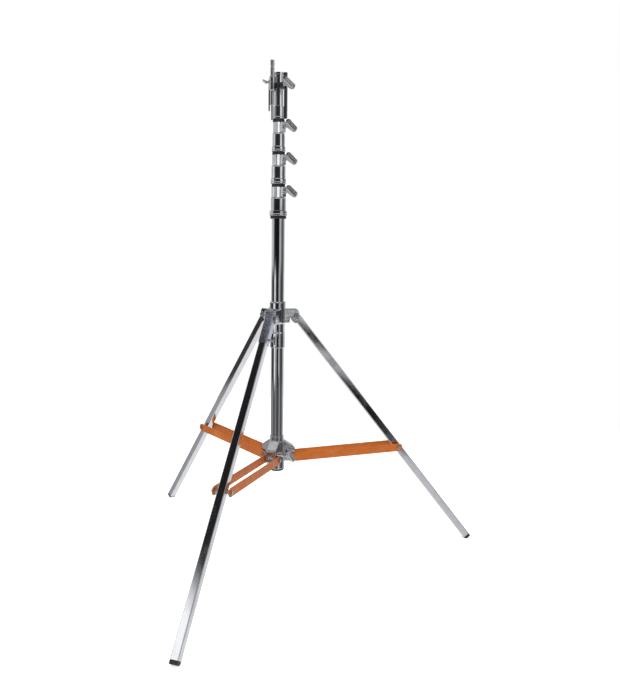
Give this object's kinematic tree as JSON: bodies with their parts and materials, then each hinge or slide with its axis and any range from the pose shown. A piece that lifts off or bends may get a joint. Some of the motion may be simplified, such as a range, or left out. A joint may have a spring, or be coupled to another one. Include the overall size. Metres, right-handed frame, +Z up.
{
  "type": "combo stand",
  "caption": "Steel combo stand: telescopic column with a junior receiver and a baby pin, square folding legs with orange braces, and a levelling leg.",
  "frame": {"origin": "middle of the floor of the receiver's bore, on the column's axis, with the column pushed down", "axes": "+Z up along the column; +X is 11.7 degrees clockwise of the right leg seen from above; the levelling leg points near -Y"},
  "size_m": [1.4053, 1.4493, 1.9215],
  "materials": {
    "chrome": "polished chrome plate on drawn steel tube",
    "casting": "plated casting, tumbled, half gloss",
    "handle_alloy": "die-cast, dull, worn bright on the edges",
    "plated_steel": "zinc plated, half gloss",
    "black_rubber": "matt, scuffed",
    "black_plastic": "moulded, satin",
    "black_paint": "semi-gloss black",
    "orange_paint": "orange hammered enamel, half gloss",
    "brass": "machined"
  },
  "bodies": {
    "stand_base": {"base_tube": "chrome", "column_end_plug": "black_plastic", "leg_collar": "casting", "leg_right_pivot_bolt": "plated_steel", "leg_left_pivot_bolt": "plated_steel", "leg_front_pivot_bolt": "plated_steel", "collar_1": "casting", "collar_1_brake_pad": "brass", "collar_1_wiper_ring": "black_plastic", "collar_1_bumper_ring": "black_rubber"},
    "riser_1": {"riser_1_tube": "chrome", "collar_2": "casting", "collar_2_brake_pad": "brass", "collar_2_wiper_ring": "black_plastic"},
    "riser_2": {"riser_2_tube": "chrome", "collar_3": "casting", "collar_3_brake_pad": "brass", "collar_3_wiper_ring": "black_plastic"},
    "riser_3": {"riser_3_tube": "chrome", "receiver": "chrome", "receiver_clamp_band": "black_paint", "safety_bar": "chrome", "pin_housing": "casting"},
    "collar_1_screw": {"collar_1_t_handle": "handle_alloy"},
    "collar_2_screw": {"collar_2_t_handle": "handle_alloy"},
    "collar_3_screw": {"collar_3_t_handle": "handle_alloy"},
    "receiver_screw": {"receiver_t_handle": "handle_alloy"},
    "sliding_pin": {"baby_pin": "chrome"},
    "pin_screw": {"pin_lock_knob": "handle_alloy"},
    "leg_right": {"leg_right_tube": "chrome", "leg_right_brace_spacer": "plated_steel", "leg_right_foot_cap": "black_rubber"},
    "leg_left": {"leg_left_tube": "chrome", "leg_left_brace_spacer": "plated_steel", "leg_left_foot_cap": "black_rubber"},
    "leg_front_sleeve": {"levelling_sleeve": "chrome"},
    "leg_front": {"leg_front_tube": "chrome", "leg_front_brace_spacer": "plated_steel", "leg_front_foot_cap": "black_rubber"},
    "levelling_screw": {"levelling_lock_knob": "handle_alloy"},
    "hub": {"brace_hub": "casting", "hub_bolt_right": "plated_steel", "hub_bolt_left": "plated_steel", "hub_bolt_front": "plated_steel"},
    "hub_screw": {"hub_t_handle": "handle_alloy"},
    "brace_right": {"brace_right_near_plate": "orange_paint", "brace_right_far_plate": "orange_paint", "brace_right_leg_bolt": "plated_steel", "brace_right_leg_nut": "plated_steel"},
    "brace_left": {"brace_left_near_plate": "orange_paint", "brace_left_far_plate": "orange_paint", "brace_left_leg_bolt": "plated_steel", "brace_left_leg_nut": "plated_steel"},
    "brace_front": {"brace_front_near_plate": "orange_paint", "brace_front_far_plate": "orange_paint", "brace_front_leg_bolt": "plated_steel", "brace_front_leg_nut": "plated_steel"}
  },
  "joints": [
    {"name": "riser_1_slide", "type": "slide", "parent": "stand_base", "child": "riser_1", "axis": [0, 0, 1], "range_m": [0, 0.88]},
    {"name": "riser_2_slide", "type": "slide", "parent": "riser_1", "child": "riser_2", "axis": [0, 0, 1], "range_m": [0, 0.88]},
    {"name": "riser_3_slide", "type": "slide", "parent": "riser_2", "child": "riser_3", "axis": [0, 0, 1], "range_m": [0, 0.88]},
    {"name": "collar_1_screw_turn", "type": "hinge", "parent": "stand_base", "child": "collar_1_screw", "pos_m": [0.03346, -0.03716, -0.3567], "axis": [0.6691, -0.7431, 0], "range_deg": [0, 180]},
    {"name": "collar_2_screw_turn", "type": "hinge", "parent": "riser_1", "child": "collar_2_screw", "pos_m": [0.03346, -0.03716, -0.2376], "axis": [0.6691, -0.7431, 0], "range_deg": [0, 180]},
    {"name": "collar_3_screw_turn", "type": "hinge", "parent": "riser_2", "child": "collar_3_screw", "pos_m": [0.03346, -0.03716, -0.1185], "axis": [0.6691, -0.7431, 0], "range_deg": [0, 180]},
    {"name": "receiver_screw_turn", "type": "hinge", "parent": "riser_3", "child": "receiver_screw", "pos_m": [0.02451, -0.03774, 0.032], "axis": [0.5446, -0.8387, 0], "range_deg": [0, 180]},
    {"name": "baby_pin_slide", "type": "slide", "parent": "riser_3", "child": "sliding_pin", "axis": [0, 0, 1], "range_m": [-0.045, 0]},
    {"name": "pin_screw_turn", "type": "hinge", "parent": "riser_3", "child": "pin_screw", "pos_m": [-0.04096, -0.02868, 0.04], "axis": [-0.8192, -0.5736, 0], "range_deg": [0, 180]},
    {"name": "leg_right_fold", "type": "hinge", "parent": "stand_base", "child": "leg_right", "pos_m": [0.06953, 0.0144, -0.827], "axis": [-0.2028, 0.9792, 0], "range_deg": [0, 34]},
    {"name": "leg_left_fold", "type": "hinge", "parent": "stand_base", "child": "leg_left", "pos_m": [-0.04723, 0.05301, -0.827], "axis": [-0.7466, -0.6652, 0], "range_deg": [0, 34]},
    {"name": "leg_front_fold", "type": "hinge", "parent": "stand_base", "child": "leg_front_sleeve", "pos_m": [-0.02229, -0.06741, -0.827], "axis": [0.9494, -0.314, 0], "range_deg": [0, 34]},
    {"name": "leg_front_levelling", "type": "slide", "parent": "leg_front_sleeve", "child": "leg_front", "axis": [-0.1946, -0.5884, -0.7848], "range_m": [0, 0.07]},
    {"name": "levelling_screw_turn", "type": "hinge", "parent": "leg_front_sleeve", "child": "levelling_screw", "pos_m": [-0.0095, -0.14019, -0.9094], "axis": [0.9494, -0.314, 0], "range_deg": [0, 180]},
    {"name": "hub_slide", "type": "slide", "parent": "stand_base", "child": "hub", "axis": [0, 0, 1], "range_m": [0, 0.317]},
    {"name": "hub_screw_turn", "type": "hinge", "parent": "hub", "child": "hub_screw", "pos_m": [0.03716, -0.03346, -1.381], "axis": [0.7431, -0.6691, 0], "range_deg": [0, 180]},
    {"name": "brace_right_fold", "type": "hinge", "parent": "hub", "child": "brace_right", "pos_m": [0.05386, 0.01115, -1.395], "axis": [-0.2028, 0.9792, 0], "range_deg": [0, 84]},
    {"name": "brace_left_fold", "type": "hinge", "parent": "hub", "child": "brace_left", "pos_m": [-0.03659, 0.04106, -1.395], "axis": [-0.7466, -0.6652, 0], "range_deg": [0, 84]},
    {"name": "brace_front_fold", "type": "hinge", "parent": "hub", "child": "brace_front", "pos_m": [-0.01727, -0.05222, -1.395], "axis": [0.9494, -0.314, 0], "range_deg": [0, 84]}
  ],
  "couplings": [
    {"joint": "leg_left_fold", "follows": "leg_right_fold", "ratio": 1},
    {"joint": "leg_front_fold", "follows": "leg_right_fold", "ratio": 1},
    {"joint": "hub_slide", "follows": "leg_right_fold", "m_per_rad": 0.5329},
    {"joint": "brace_right_fold", "follows": "leg_right_fold", "ratio": 2.469},
    {"joint": "brace_left_fold", "follows": "leg_right_fold", "ratio": 2.469},
    {"joint": "brace_front_fold", "follows": "leg_right_fold", "ratio": 2.469}
  ]
}
